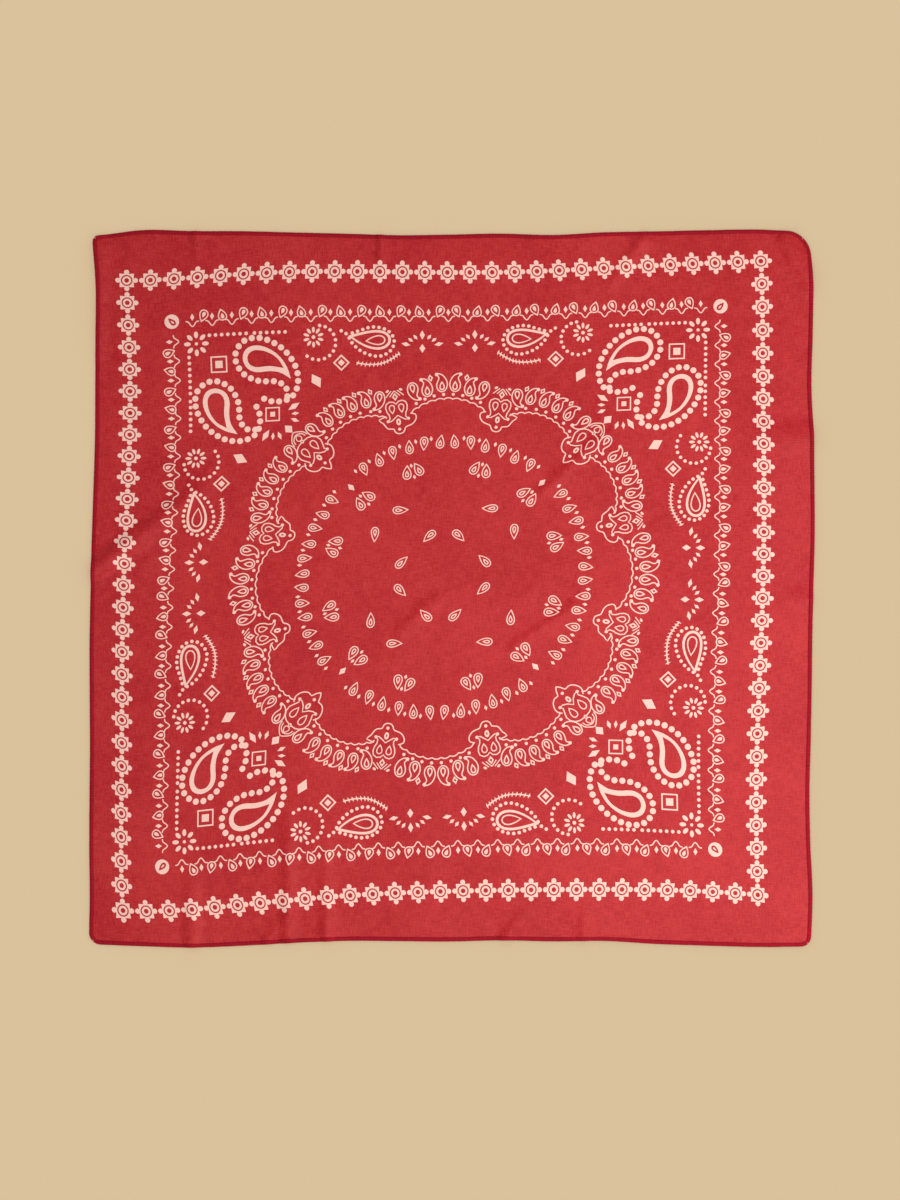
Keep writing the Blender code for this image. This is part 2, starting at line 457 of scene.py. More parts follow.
# the big drop's outer and inner edges, each from its point over the top and round the head
bigDropOuter = [(121.2, 162.7), (123.9, 171.6), (129.4, 180.2), (137.7, 186.5), (147.1, 189.3),
                (155.0, 186.8), (157.8, 179.6), (154.4, 172.0), (147.3, 168.8), (137.7, 169.2),
                (129.4, 167.8)]
bigDropInner = [(126.4, 171.1), (131.3, 178.9), (139.6, 184.2), (148.6, 185.6), (153.7, 182.2),
                (153.4, 176.2), (148.0, 172.7), (137.1, 173.1)]


def cornerHalf():
    motif = []
    for start, end in corner["beadRows"]:
        row = [(start, corner["beadLine"]), (end, corner["beadLine"])]
        motif += beads(row, corner["bead"], corner["beadPitch"])
    motif += beads(curve(bigBeadPath, spans=6), corner["bigBead"], corner["bigBeadPitch"])
    for edge, inked in ((bigDropOuter, True), (bigDropInner, False)):
        motif += outlined(curve(edge + edge[:1], spans=3)[:-1], inked)
    for x, y, halfWidth, halfHeight, turn in (
        (119.1, 141.0, 2.3, 5.2, 58),
        (118.1, 135.4, 1.4, 3.1, 86),
        (118.4, 130.2, 1.6, 3.5, -68),
    ):
        motif += diamond(halfWidth, halfHeight, x, y, turn)
    return motif


def cornerMiddle():
    place = corner["flower"]
    motif = moved(flower(8, 4.2, 9.5, 1.6, 1.3), place, place)
    for along, outer, ring, core in corner["squares"]:
        motif += moved(square(outer) + square(ring, False) + square(core), along, along)
    motif += moved(bud(), border["bud"], border["bud"])
    return motif + diamond(4.2, 3.4, 123.2, 123.2, 45)


# the band between two corners, drawn for the right half of the top one
band = {
    "flower": (103.2, 194.1),
    "spiral": (99.4, 190.3),
    "square": (82.2, 174.0),
    "drop": (59.9, 190.4),
    "sparkle": (20.1, 188.4),
    "bead": 1.4,
    "line": 1.9,
    "stem": 1.05,
}


def bandHalf():
    motif = moved(flower(10, 3.4, 8.0, 1.12, 1.5), *band["flower"])
    for share in np.linspace(0, 1, 12):  # a spiral of dots around the flower
        angle, radius = math.radians(95 + 215 * share), 12.6 + 1.3 * share
        x, y = band["spiral"]
        motif += disc(band["bead"], x + radius * math.cos(angle), y + radius * math.sin(angle))
    motif += outlined([(105.0, 165.7), (98.0, 162.2), (98.5, 154.9), (105.3, 159.2)])
    line = band["line"]
    body = drop(32.0, 15.6, bend=-6.5, steps=26)
    body += drop(32.0 - 2.7 * line, 15.6 - 2 * line, -6.5, -0.3 * line, 32.0, False, 24)
    inner = drop(15.6, 8.0, -2.4, -4.0, 32.0, True, 18)
    inner += drop(15.6 - 2.6, 8.0 - 2.0, -2.4, -4.25, 32.0, False, 16)
    motif += moved(body + inner, *band["drop"], turn=-97)
    ring = curve([(81.9, 198.7), (77.3, 195.6), (74.1, 189.7), (68.4, 183.9), (60.9, 179.9), (52.4, 178.7),
                  (44.9, 182.5), (41.5, 189.5), (44.1, 196.7), (50.9, 200.7), (59.1, 201.5), (66.9, 199.1),
                  (73.5, 196.9)], spans=4)
    motif += beads(ring, band["bead"], 4.25)
    squares = diamond(6.5, 6.5) + diamond(4.8, 4.8, inked=False) + diamond(2.7, 2.7)
    motif += moved(squares, *band["square"])
    stem = curve([(70.6, 173.7), (62.8, 172.3), (55.0, 172.3), (48.8, 173.7), (42.6, 177.1), (37.5, 180.9)])
    motif += stroke(stem, band["stem"])
    for place in np.linspace(0.4, len(stem) - 1.3, 13):  # its barbs
        at = np.array([np.interp(place, range(len(stem)), stem[:, axis]) for axis in (0, 1)])
        ahead = stem[min(int(place) + 1, len(stem) - 1)] - stem[int(place)]
        motif += diamond(2.3, 0.75, *at, math.degrees(math.atan2(ahead[1], ahead[0])) + 105)
    for x, y, halfWidth, halfHeight, turn in (
        (0, 6.9, 2.0, 3.7, 0),
        (5.3, 5.2, 1.35, 2.5, -38),
        (-5.3, 5.2, 1.35, 2.5, 38),
        (9.0, 3.0, 1.3, 2.5, -52),
        (-9.0, 3.0, 1.3, 2.5, 52),
        (12.6, -0.4, 1.7, 3.6, -78),
        (-12.6, -0.4, 1.7, 3.6, 78),
        (0, -3.8, 2.3, 3.5, 0),
    ):
        motif += diamond(halfWidth, halfHeight, band["sparkle"][0] + x, band["sparkle"][1] + y, turn)
    return motif


# twelve bays of hooked drops between twelve hearts
wreath = {
    "turnToHeart": 16.5,
    "heart": (38.9, 131.0),
    "heartLean": 8.7,
    "cornerHeartOut": 146.0,
    "bead": 1.3,
    "scallops": 9,
    "scallopDepth": 1.15,
}

# a drop whose point hooks over to the left, from under the hook and round the head
hook = [(-3.6, 8.3), (-2.3, 6.6), (-2.6, 4.6), (-3.7, 2.2), (-4.1, -0.6), (-3.1, -3.6), (-0.5, -5.1),
        (2.3, -4.1), (3.9, -0.8), (4.0, 2.2), (3.1, 5.0), (1.4, 7.6), (-0.8, 9.2), (-3.0, 9.7)]


def hookedDrop():
    line = curve(hook, True, 2)
    inner = drop(7.6, 4.4, y=-0.2, steps=12) + drop(4.7, 2.3, y=-0.5, whole=7.2, inked=False, steps=10)
    return loop(line, printed["line"]) + disc(1.45, -3.9, 9.1) + inner


def ringedDiamond(halfWidth, halfHeight):
    return diamond(halfWidth, halfHeight) + diamond(halfWidth * 0.42, halfHeight * 0.42, inked=False)


def archLine(start, end, rise):  # scallops along an arc
    start, end = np.array(start), np.array(end)
    chord = end - start
    half = np.linalg.norm(chord) / 2
    radius = (half * half + rise * rise) / (2 * rise)
    up = np.array([-chord[1], chord[0]]) / (2 * half)
    middle = (start + end) / 2 + up * (rise - radius)
    opening = math.asin(half / radius)
    lean = math.atan2(chord[1], chord[0])
    points = []
    for place in np.arange(4 * wreath["scallops"] + 1) / 4:
        angle = opening * (2 * place / wreath["scallops"] - 1) - lean
        out = radius + wreath["scallopDepth"] * math.sin(math.pi * (place % 1))
        points.append((middle[0] + out * math.sin(angle), middle[1] + out * math.cos(angle)))
    return stroke(points, printed["line"])


def spun(motif, turn, out, lean=0.0):
    # turned by lean in place, moved out, then turned clockwise round the middle
    return moved(moved(motif, y=out, turn=lean), turn=-turn)


def axisBay():  # drawn pointing up: each half's hooks turn outwards
    motif = archLine((-28.0, 132.6), (28.0, 132.6), 10.7)
    for sign in (-1, 1):
        for u, v in ((3.7, 147.1), (11.0, 146.0), (18.0, 143.6), (24.7, 140.1)):
            motif += disc(wreath["bead"], sign * u, v)
        for u, v, lean in ((5.0, 154.5, 2.0), (16.3, 150.7, 6.0)):
            motif += moved(moved(hookedDrop(), flip=sign > 0), sign * u, v, -sign * lean)
        motif += moved(moved(upsideDown(hookedDrop()), flip=sign < 0), sign * 27.6, 151.9, -sign * 12)
        motif += moved(ringedDiamond(2.1, 3.1), sign * 14.0, 160.6, -sign * 12)
    return motif


def sideBay():  # the same way: its place is between an axis and the diagonal to its right
    motif = archLine((-23.6, 135.9), (25.5, 142.4), 9.3)
    for turn, out in ((-8.7, 145.3), (-6.2, 148.2), (-3.2, 150.9), (-0.3, 152.4), (3.0, 152.9),
                      (6.0, 152.1), (9.0, 149.8)):
        motif += spun(disc(wreath["bead"]), turn, out)
    rightHook = [(outline * 0.94, inked) for outline, inked in moved(hookedDrop(), flip=True)]
    for turn, out, lean in ((-6.2, 156.9, 8.0), (-2.3, 159.2, 4.0), (1.6, 160.2, 1.0), (5.6, 159.9, -1.0)):
        motif += spun(rightHook, turn, out, lean)
    tail = upsideDown(hookedDrop())
    motif += spun(moved(tail, flip=True), -10.1, 155.6, 22.0) + spun(tail, 10.5, 162.8, -12.0)
    for turn, out in ((-8.3, 163.0), (-4.1, 166.2), (0.1, 167.8), (4.3, 168.2)):
        motif += spun(ringedDiamond(1.9, 2.8), turn, out, -10.0)
    return motif


# half outlines of the hearts, from the dip at the top round to the one below,
# and of the cups that hold them
sideHeart = {
    "half": [(0, 9.0), (2.0, 11.0), (4.9, 11.5), (7.6, 9.9), (8.4, 7.0), (7.8, 3.6), (6.4, 0.8),
             (6.1, -2.0), (7.9, -4.2), (5.6, -4.4), (3.0, -2.6), (0, -0.2)],
    "roundCup": [(9.9, 0.0), (13.4, -1.5), (13.9, -4.2), (12.4, -7.2), (9.6, -9.3), (5.0, -10.6)],
    "pointedCup": [(8.8, 0.3), (14.7, -1.7), (11.8, -5.0), (9.8, -8.6), (8.0, -10.1), (4.4, -10.9)],
    "foot": [(3.8, -13.0), (2.2, -14.8), (0, -15.3)],
    "tip": (7.9, -4.0),
    "lobe": (3.6, 5.1, 7.8, 4.9),  # place, length and width of the hollow drop in it
    "seed": -5.6,
    "dot": -11.6,
}
cornerHeart = {
    "half": [(0, 12.6), (1.6, 12.9), (5.0, 12.4), (8.0, 10.7), (10.3, 7.6), (10.8, 3.6), (9.2, -0.3),
             (7.7, -3.3), (8.9, -5.6), (6.2, -5.6), (3.0, -3.6), (0, 0)],
    "roundCup": [(10.7, -1.0), (12.6, -3.8), (12.6, -7.4), (10.4, -11.4), (7.1, -13.4), (3.9, -13.2)],
    "foot": [(2.4, -16.4), (1.0, -18.4), (0, -19.4)],
    "tip": (8.9, -5.5),
    "lobe": (4.6, 3.9, 10.0, 5.6),
    "seed": -5.8,
    "dot": -12.4,
}


def heart(shape, leftCup, rightCup):
    left = [(-x, y) for x, y in shape["half"][1:-1]][::-1]
    motif = loop(np.array(shape["half"] + left, float), printed["line"])
    placeX, placeY, length, width = shape["lobe"]
    for sign in (-1, 1):
        motif += disc(wreath["bead"], sign * shape["tip"][0], shape["tip"][1])
        lobe = drop(length, width, steps=14)
        lobe += drop(length - 2.4, width - 1.7, y=-0.3, inked=False, steps=12)
        motif += moved(upsideDown(lobe), sign * placeX, placeY)
    motif += oval(1.9, 2.9, 0, shape["seed"]) + oval(0.6, 1.25, 0, shape["seed"], inked=False, steps=6)
    motif += disc(wreath["bead"], 0, shape["dot"])
    foot = shape["foot"]
    rightSide = curve(shape[rightCup] + foot[:1], spans=2)[:-1]
    leftSide = curve(shape[leftCup] + foot[:1], spans=2)[:-1] * (-1, 1)
    footHalf = curve(foot, spans=2)
    footLine = np.concatenate([footHalf[:-1], footHalf[::-1] * (-1, 1)])
    return motif + stroke(np.concatenate([rightSide, footLine, leftSide[::-1]]), printed["line"])


def plume():  # over a heart
    motif = moved(ringedDiamond(2.3, 3.3), 0, 15.0)
    for sign in (-1, 1):
        motif += stroke([(0.0, 19.9), (sign * 2.0, 17.8), (sign * 4.0, 15.4)], 0.8)
        motif += stroke([(sign * 2.3, 20.1), (sign * 4.6, 17.9), (sign * 6.9, 15.4)], 0.8)
        motif += oval(1.5, 1.0, sign * 5.2, 20.3, -sign * 30)
    return motif


def nestedPlume():  # over a heart on the diagonal
    motif = oval(1.3, 2.0, 0, 13.4) + oval(0.5, 0.9, 0, 13.4, inked=False, steps=6)
    motif += loop(drop(5.4, 4.4, y=17.4, whole=60, steps=12)[0][0], 0.8)
    for arch in (
        [(-5.0, 15.0), (-4.2, 18.2), (-1.2, 20.3), (1.2, 20.3), (4.2, 18.2), (5.0, 15.0)],
        [(-6.8, 14.6), (-6.2, 18.0), (-3.6, 21.0), (0, 23.4), (3.6, 21.0), (6.2, 18.0), (6.8, 14.6)],
    ):
        motif += stroke(curve(arch, spans=2), 0.85)
    return motif


def wreathRound():
    beside = heart(sideHeart, "roundCup", "pointedCup") + plume()  # right of an axis
    beside = moved(beside, *wreath["heart"], turn=-wreath["heartLean"])
    onDiagonal = heart(cornerHeart, "roundCup", "roundCup") + nestedPlume()
    half = moved(sideBay(), -1.9, -0.4, -(wreath["turnToHeart"] + 45) / 2) + beside
    return eightfold(half) + fourfold(axisBay() + spun(onDiagonal, 45, wreath["cornerHeartOut"]))


# the drops in the middle: two rings, and the loose ones inside them
rings = {
    "stroke": 0.86,
    "outer": {"radius": 108.7, "turns": (3.1, 9.3, 15.9, 22.5, 29.2, 35.8), "length": 11.6, "width": 6.8},
    "pairs": {"radius": 89.3, "turns": (17.1, 45.0, 72.9), "length": 12.0, "width": 7.3},
    "inner": {"length": 12.6, "width": 6.7, "places": ((63.2, 33.0, 133.0), (34.2, 20.0, -104.0))},
}


def middleDrops():
    outer, pairs, inner = rings["outer"], rings["pairs"], rings["inner"]
    half, line = [], rings["stroke"]
    for count, turn in enumerate(outer["turns"]):
        leaf = ringedDrop(outer["length"], outer["width"], line, bend=-1.7)
        half += spun(leaf, turn, outer["radius"], 180 * (count % 2))
        half += spun(diamond(1.25, 2.1), turn + 3.4, outer["radius"] + 3.0)
    for radius, turn, lean in inner["places"]:
        half += spun(ringedDrop(inner["length"], inner["width"], line, bend=1.9), turn, radius, lean)
    pair = diamond(1.2, 1.9, 0, 4.2) + diamond(1.2, 1.9, 0, -5.4)
    for sign in (-1, 1):
        leaf = moved(ringedDrop(pairs["length"], pairs["width"], line, bend=-1.6), flip=sign < 0)
        pair += moved(leaf, sign * 4.9, turn=sign * 6)
    motif = spun(diamond(2.2, 3.8), 45, 104.0)
    for turn in pairs["turns"]:
        motif += spun(pair, turn, pairs["radius"])
    return eightfold(half) + fourfold(motif)


print("drawing the print", flush=True)
wholePrint = (
    chainOfRosettes()
    + eightfold(borderHalf())
    + eightfold(cornerHalf())
    + fourfold(cornerMiddle())
    + eightfold(bandHalf())
    + wreathRound()
    + middleDrops()
)
print(len(wholePrint), "shapes", sum(len(outline) for outline, _ in wholePrint), "points", flush=True)


def edgeOfCloth(inset, step):
    parts = []
    for side in sides:
        points, ways = edgeOfSide(side, step)
        parts.append((points - ways * inset)[:-1])
    return np.concatenate(parts)


def bendPoints(taken):  # extra points, close together on the folds, that let the cloth bend
    half = np.array([cloth["width"], cloth["length"]]) / 2 - cloth["bare"]
    found = []
    for step, onFold in ((cloth["gridStep"], False), (cloth["foldGridStep"], True)):
        xs, ys = (np.arange(-math.floor(size / step), math.floor(size / step) + 1) * step for size in half)
        flat = np.stack(np.meshgrid(xs, ys), 2).reshape(-1, 2)
        flat[:, 0] += np.where(np.round(flat[:, 1] / step) % 2, step / 2, 0)
        flat = flat[np.abs(flat[:, 0]) < half[0]]
        points = laid(flat)
        high = foldHeight(points) > 0.02
        points = points[high == onFold]
        found.append(points[[free(taken, point, step * 0.42) for point in points]])
    return np.concatenate(found)


def cellsOf(points, size):
    cells = {}
    for x, y in points:
        cells.setdefault((math.floor(x / size), math.floor(y / size)), []).append((x, y))
    return cells


def free(cells, point, clear, size=4.0):
    x, y = point
    for column in range(math.floor((x - clear) / size), math.floor((x + clear) / size) + 1):
        for row in range(math.floor((y - clear) / size), math.floor((y + clear) / size) + 1):
            for otherX, otherY in cells.get((column, row), ()):
                if (x - otherX) ** 2 + (y - otherY) ** 2 < clear * clear:
                    return False
    return True


def anticlockwise(outline):
    return outline if areaOf(outline) > 0 else outline[::-1]


def tileCorners(low, size, step):  # a square tile's edge, with points that its neighbour has too
    side = np.arange(round(size / step)) * step
    zero = np.zeros(len(side))
    return low + np.concatenate([
        np.stack([side, zero], 1),
        np.stack([zero + size, side], 1),
        np.stack([size - side, zero + size], 1),
        np.stack([zero, size - side], 1),
    ])


def triangulated(shapes):
    tileSize, step = cloth["tile"], cloth["tileStep"]
    edge = laid(edgeOfCloth(cloth["tuck"], cloth["edgeStep"]))[::-1]
    drawn = np.concatenate([outline for outline, _ in shapes])
    tiles = [np.array([column, row]) * tileSize for column in range(-4, 4) for row in range(-4, 4)]
    seams = np.concatenate([tileCorners(low, tileSize, step) for low in tiles])
    loose = bendPoints(cellsOf(np.concatenate([drawn, seams]), 4.0))
    lows = np.array([outline.min(0) for outline, _ in shapes])
    highs = np.array([outline.max(0) for outline, _ in shapes])
    allSpots, allTriangles, allInked, found = [], [], [], 0
    for low in tiles:
        high = low + tileSize
        near = np.flatnonzero((highs > low).all(1) & (lows < high).all(1))
        outlines = [tileCorners(low, tileSize, step), edge] + [shapes[k][0] for k in near]
        inks = np.array([False, False] + [shapes[k][1] for k in near])
        inside = loose[(loose > low).all(1) & (loose < high).all(1)]
        lists, first = [], 0
        for outline in outlines:
            lists.append(list(range(first, first + len(outline))))
            first += len(outline)
        points = [Vector(point) for point in np.concatenate(outlines + [inside])]
        spots, _, triangles, _, _, sources = delaunay_2d_cdt(points, [], lists, 1, 1e-5, True)
        kept = [k for k, source in enumerate(sources) if 0 in source and 1 in source]
        if not kept:
            continue
        used, triangles = np.unique(np.array(triangles)[kept], return_inverse=True)
        allSpots.append(np.array([tuple(spot) for spot in spots])[used])
        allTriangles.append(triangles.reshape(-1, 3) + found)
        allInked.append([bool(inks[max(sources[k])]) for k in kept])
        found += len(used)
    return joined(np.concatenate(allSpots), np.concatenate(allTriangles), np.concatenate(allInked))


def joined(spots, triangles, inked):  # neighbouring tiles share the points on their seam
    _, first, index = np.unique(np.round(spots, 3), axis=0, return_index=True, return_inverse=True)
    triangles = index.reshape(-1)[triangles]
    whole = (triangles != np.roll(triangles, 1, 1)).all(1)
    return spots[first], triangles[whole], inked[whole]


def openEdges(triangles):  # pairs of points, each the way its triangle runs
    ends = np.concatenate([triangles[:, [0, 1]], triangles[:, [1, 2]], triangles[:, [2, 0]]])
    _, index, count = np.unique(np.sort(ends, axis=1), axis=0, return_inverse=True, return_counts=True)
    return ends[count[index.reshape(-1)] == 1]


def makePanel(material):
    face = [(anticlockwise(printLaid(outline)), inked) for outline, inked in wholePrint]
    back = [(outline[::2] if len(outline) > 9 else outline, inked) for outline, inked in face]
    facePoints, faceTriangles, faceInked = triangulated(face)
    backPoints, backTriangles, backInked = triangulated(back)
    rim = openEdges(faceTriangles)
    places = {tuple(np.round(point, 2)): k for k, point in enumerate(backPoints)}
    under = [[places[tuple(np.round(facePoints[k], 2))] for k in ends] for ends in rim]
    under = np.array(under) + len(facePoints)
    low = np.concatenate([backPoints, heightAt(backPoints)[:, None]], 1)
    high = np.concatenate([facePoints, heightAt(facePoints)[:, None] + cloth["thickness"]], 1)
    corners = np.concatenate([
        faceTriangles,
        backTriangles[:, ::-1] + len(facePoints),
        np.stack([rim[:, 1], rim[:, 0], under[:, 0]], 1),
        np.stack([rim[:, 1], under[:, 0], under[:, 1]], 1),
    ])
    mesh = bpy.data.meshes.new("clothPanel")
    mesh.from_pydata((np.concatenate([high, low]) * mm).tolist(), [], corners.tolist())
    ink = np.zeros(len(corners), np.float32)
    ink[: len(faceInked)] = faceInked * 1.0
    ink[len(faceInked) : len(faceInked) + len(backInked)] = backInked * cloth["printOnBack"]
    mesh.attributes.new("ink", "FLOAT", "FACE").data.foreach_set("value", ink)
    mesh.materials.append(material)
    mesh.shade_smooth()
    normals = np.concatenate([normalsAt(facePoints), -normalsAt(backPoints)])
    mesh.normals_split_custom_set_from_vertices(normals.tolist())
    panel = bpy.data.objects.new("clothPanel", mesh)
    bpy.context.scene.collection.objects.link(panel)
    print("panel:", len(corners), "triangles", flush=True)
    return panel


hem = {
    "width": 3.2,
    "high": 1.5,
    "ringStep": 0.65,  # two rings to a stitch: the roll is pinched under the thread
    "pinch": 0.08,
    "stitchPitch": 1.3,
    "threadRadius": 0.21,
    "slant": 0.55,  # how far a turn of the thread runs along the edge
    "endGap": 0.15,  # from the end of a roll to the middle of its corner
    "wander": 0.12,  # how uneven the roll is, at even knots along it
    "knotStep": 6.0,
    "corners": 12,  # round the roll
    "threadTurns": 11,  # points along a stitch, and round its thread
    "threadCorners": 5,
}


def hemRings(side, step, places=None):
    # middle of the roll, way out and way along in plan, every step along a side
    points, ways = edgeOfSide(side, 1.0)
    middle = laid(points - ways * hem["width"] / 2)
    outer = laid(points)
    run = np.concatenate([[0], np.cumsum(np.linalg.norm(np.diff(middle, axis=0), axis=1))])
    gap = hem["endGap"]
    if places is None:
        places = np.linspace(gap, run[-1] - gap, round(run[-1] / step) + 1)
    centre = np.stack([np.interp(places, run, middle[:, axis]) for axis in (0, 1)], 1)
    edge = np.stack([np.interp(places, run, outer[:, axis]) for axis in (0, 1)], 1)
    out = edge - centre
    out /= np.linalg.norm(out, axis=1)[:, None]
    along = np.stack([out[:, 1], -out[:, 0]], 1)
    return places, centre, out, along


def sectionPoints(centre, out, along, angle, wide, high, slide=0.0):
    # points round the roll: angle 0 is on its outer side, and it runs over the top
    plan = centre + out * (np.cos(angle) * wide)[:, None] + along * (np.zeros(len(centre)) + slide)[:, None]
    base = foldHeight(centre) + swellHeight(centre) * 0.6 + cloth["lift"]
    level = base + hem["high"] / 2 + np.sin(angle) * high
    return np.concatenate([plan, level[:, None]], 1)


def newObject(name, points, faces, material):
    mesh = bpy.data.meshes.new(name)
    mesh.from_pydata((np.asarray(points) * mm).tolist(), [], faces)
    mesh.materials.append(material)
    mesh.shade_smooth()
    made = bpy.data.objects.new(name, mesh)
    bpy.context.scene.collection.objects.link(made)
    return made


def makeRoll(side, material):
    places, centre, out, along = hemRings(side, hem["ringStep"])
    count, corners = len(places), hem["corners"]
    knots = np.arange(0, places[-1] + 9, hem["knotStep"])
    heights = random.uniform(-hem["wander"], hem["wander"], int(places[-1] / hem["knotStep"]) + 3)
    wander = np.interp(places, knots, heights[: len(knots)])
    pinch = 1 - hem["pinch"] * (np.arange(count) % 2) + wander * 0.4
    rings = []
    for corner in range(corners):
        angle = np.full(count, 2 * math.pi * corner / corners)
        wide, high = hem["width"] / 2 * pinch, hem["high"] / 2 * pinch
        rings.append(sectionPoints(centre, out, along, angle, wide, high))
    points = np.stack(rings, 1).reshape(-1, 3)
    faces = []
    for k in range(count - 1):
        for corner in range(corners):
            beside = (corner + 1) % corners
            faces.append((k * corners + corner, k * corners + beside,
                          (k + 1) * corners + beside, (k + 1) * corners + corner))
    faces.append(tuple(range(corners))[::-1])
    faces.append(tuple((count - 1) * corners + corner for corner in range(corners)))
    return newObject("hemRoll_" + side, points, faces, material)


def makeStitches(side, material):
    length = hemRings(side, 10)[0][-1]
    stitches = np.arange(1.0, length - 0.8, hem["stitchPitch"])
    stitches = stitches + random.uniform(-0.14, 0.14, len(stitches))
    turns, corners = hem["threadTurns"], hem["threadCorners"]
    wide, high = hem["width"] / 2 + 0.06, hem["high"] / 2 + 0.06
    _, centre, out, along = hemRings(side, 1, stitches)
    centreLines = []
    for k, turn in enumerate(np.linspace(-0.06, 1.06, turns) * 2 * math.pi - math.pi / 2):
        slide = hem["slant"] * (k / (turns - 1) - 0.5)
        angle = np.full(len(stitches), turn)
        centreLines.append(sectionPoints(centre, out, along, angle, wide, high, slide))
    lines = np.stack(centreLines, 1)  # stitch, turn, xyz
    ahead = np.gradient(lines, axis=1)
    ahead /= np.linalg.norm(ahead, axis=2)[:, :, None]
    across = np.concatenate([along, np.zeros((len(along), 1))], 1)[:, None, :] + np.zeros_like(lines)
    across -= ahead * (across * ahead).sum(2)[:, :, None]
    across /= np.linalg.norm(across, axis=2)[:, :, None]
    up = np.cross(ahead, across)
    radius = hem["threadRadius"] * random.uniform(0.9, 1.1, (len(stitches), 1, 1))
    tube = []
    for corner in range(corners):
        angle = 2 * math.pi * corner / corners
        tube.append(lines + (across * math.cos(angle) + up * math.sin(angle)) * radius)
    points, faces = np.stack(tube, 2).reshape(-1, 3), []
    for stitch in range(len(stitches)):
        base = stitch * turns * corners
        for turn in range(turns - 1):
            low = base + turn * corners
            high = low + corners
            for corner in range(corners):
                beside = (corner + 1) % corners
                faces.append((low + corner, low + beside, high + beside, high + corner))
        faces.append(tuple(base + corner for corner in range(corners))[::-1])
        faces.append(tuple(base + (turns - 1) * corners + corner for corner in range(corners)))
    return newObject("hemStitches_" + side, points, faces, material)


def newGroup(name, inputs, outputs):
    group = bpy.data.node_groups.new(name, "ShaderNodeTree")
    for label, kind, value in inputs:
        socket = group.interface.new_socket(label, in_out="INPUT", socket_type=kind)
        if value is not None:
            socket.default_value = value
    for label, kind in outputs:
        group.interface.new_socket(label, in_out="OUTPUT", socket_type=kind)
    return group, group.nodes.new("NodeGroupInput"), group.nodes.new("NodeGroupOutput")


def put(tree, kind, settings=None, **inputs):  # a node with its settings, and its inputs by name or place
    node = tree.nodes.new(kind)
    for name, value in (settings or {}).items():
        setattr(node, name, value)
    for name, value in inputs.items():
        byPlace = name[0] == "i" and name[1:].isdigit()
        socket = node.inputs[int(name[1:]) if byPlace else name.replace("_", " ")]
        if isinstance(value, bpy.types.NodeSocket):
            tree.links.new(value, socket)
        else:
            socket.default_value = value
    return node


def maths(tree, operation, first, second=0.0, third=0.0):
    return put(tree, "ShaderNodeMath", {"operation": operation}, i0=first, i1=second, i2=third).outputs[0]


def weaveGroup():  # plain weave: threads over and under, with thick places in them
    group, into, out = newGroup(
        "plainWeave",
        (("Threads per Metre", "NodeSocketFloat", 2400.0), ("Thick Places", "NodeSocketFloat", 0.5)),
        (("Height", "NodeSocketFloat"), ("Shade", "NodeSocketFloat"), ("Crumple", "NodeSocketFloat")),
    )
    place = put(group, "ShaderNodeTexCoord").outputs["Object"]
    split = put(group, "ShaderNodeSeparateXYZ", None, Vector=place)
    turns = maths(group, "MULTIPLY", into.outputs[0], math.pi)
    waves = [maths(group, "SINE", maths(group, "MULTIPLY", split.outputs[axis], turns)) for axis in (0, 1)]
    over = maths(group, "GREATER_THAN", maths(group, "MULTIPLY", waves[0], waves[1]), 0.0)
    lifted = [maths(group, "ABSOLUTE", wave) for wave in waves]
    height = put(group, "ShaderNodeMix", {"data_type": "FLOAT"}, i0=over, i2=lifted[0], i3=lifted[1])
    streaks = []
    for scale in ((130.0, 1500.0, 1.0), (1350.0, 150.0, 1.0)):
        stretched = put(group, "ShaderNodeMapping", None, Vector=place, Scale=scale)
        noise = put(group, "ShaderNodeTexNoise", None, Vector=stretched.outputs[0], Scale=1.0, Detail=2.0)
        streaks.append(maths(group, "SUBTRACT", noise.outputs[0], 0.5))
    shade = maths(group, "MULTIPLY", maths(group, "ADD", streaks[0], streaks[1]), 0.8)
    for scale, weight in ((12.0, 0.5), (110.0, 0.35), (900.0, 0.5)):  # clouds, patches and lint
        noise = put(group, "ShaderNodeTexNoise", None, Vector=place, Scale=scale, Detail=3.0)
        shade = maths(group, "MULTIPLY_ADD", maths(group, "SUBTRACT", noise.outputs[0], 0.5), weight, shade)
    shade = maths(group, "MULTIPLY", shade, into.outputs[1])
    bumpy = maths(group, "MULTIPLY_ADD", streaks[0], 0.5, height.outputs[0])
    group.links.new(bumpy, out.inputs[0])
    group.links.new(shade, out.inputs[1])
    bent = put(group, "ShaderNodeTexNoise", None, Vector=place, Scale=26.0, Detail=2.5, Distortion=0.6)
    group.links.new(bent.outputs[0], out.inputs[2])
    return group


def newMaterial(name):
    made = bpy.data.materials.new(name)
    made.use_nodes = True
    tree = made.node_tree
    return made, tree, tree.nodes["Principled BSDF"]


def shaded(tree, colour, shade):  # the colour, darker and lighter by the shade
    factor = maths(tree, "ADD", shade, 1.0)
    return put(tree, "ShaderNodeVectorMath", {"operation": "SCALE"}, i0=colour, Scale=factor).outputs[0]


cotton = {
    "deep": (0.372, 0.002, 0.007),  # the ground at the two ends of its random mottle: deep red where the dye lies thick, and a lighter red that carries a painted sheen, a whitish veil
    "paleWithPaintedSheen": (0.508, 0.023, 0.024),
    "mottle": 4.5,
    "ink": (0.87, 0.535, 0.445),
    "threadsPerMetre": 2400.0,
    "thickPlaces": 0.55,
    "crumple": 0.0016,  # how deep the small unevenness is, and how deep the weave
    "weave": 0.00008,
    "roughness": 0.52,
    "specular": 0.22,
    "sheen": 0.03,
}


